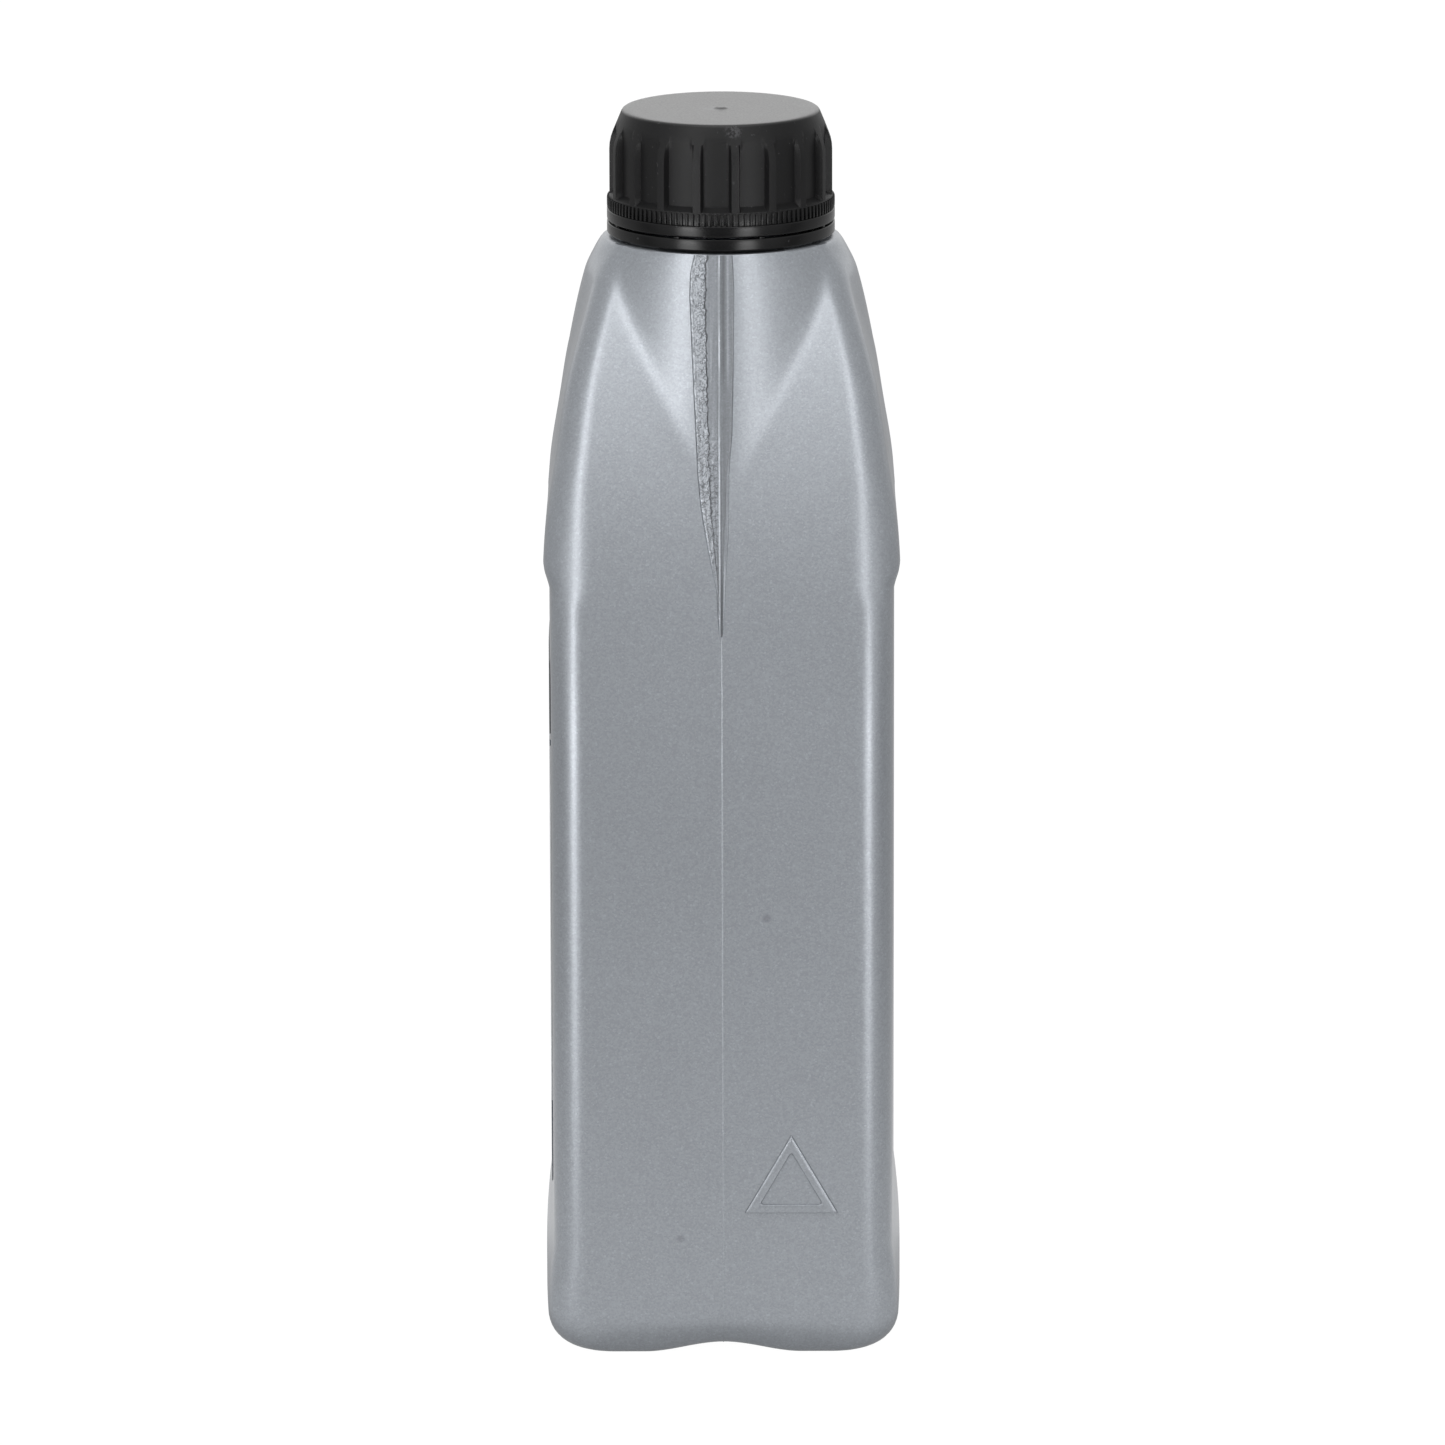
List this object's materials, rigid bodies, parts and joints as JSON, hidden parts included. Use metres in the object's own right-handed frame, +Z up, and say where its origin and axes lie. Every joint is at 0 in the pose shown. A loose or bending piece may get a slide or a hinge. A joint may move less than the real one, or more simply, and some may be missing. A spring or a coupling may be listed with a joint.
{
  "type": "transmission fluid bottle",
  "caption": "Flat-sided blow-moulded fluid bottle with sloping shoulders, a ribbed screw cap and a tamper ring.",
  "frame": {"origin": "on the ground, in the middle of the base", "axes": "+Z up the bottle's axis to the cap, -Y out of the narrow face that the picture shows, -X out of the labelled broad face"},
  "size_m": [0.069, 0.098, 0.2356],
  "materials": {
    "bottle_plastic": "silver-grey pearl, satin",
    "cap_plastic": "black, satin",
    "liner_foam": "matt foam",
    "label_film": "satin film"
  },
  "bodies": {
    "body": {"bottle": "bottle_plastic", "tamper_ring": "cap_plastic", "front_label": "label_film"},
    "liner": {"cap_liner": "liner_foam"},
    "cap": {"screw_cap": "cap_plastic"}
  },
  "joints": [
    {"name": "cap_lift", "type": "slide", "parent": "body", "child": "liner", "axis": [0, 0, 1], "range_m": [0, 0.0063]},
    {"name": "cap_turn", "type": "hinge", "parent": "liner", "child": "cap", "pos_m": [0, 0, 0.2139], "axis": [0, 0, 1], "range_deg": [0, 540]}
  ],
  "couplings": [
    {"joint": "cap_lift", "follows": "cap_turn", "m_per_rad": 0.000668}
  ]
}
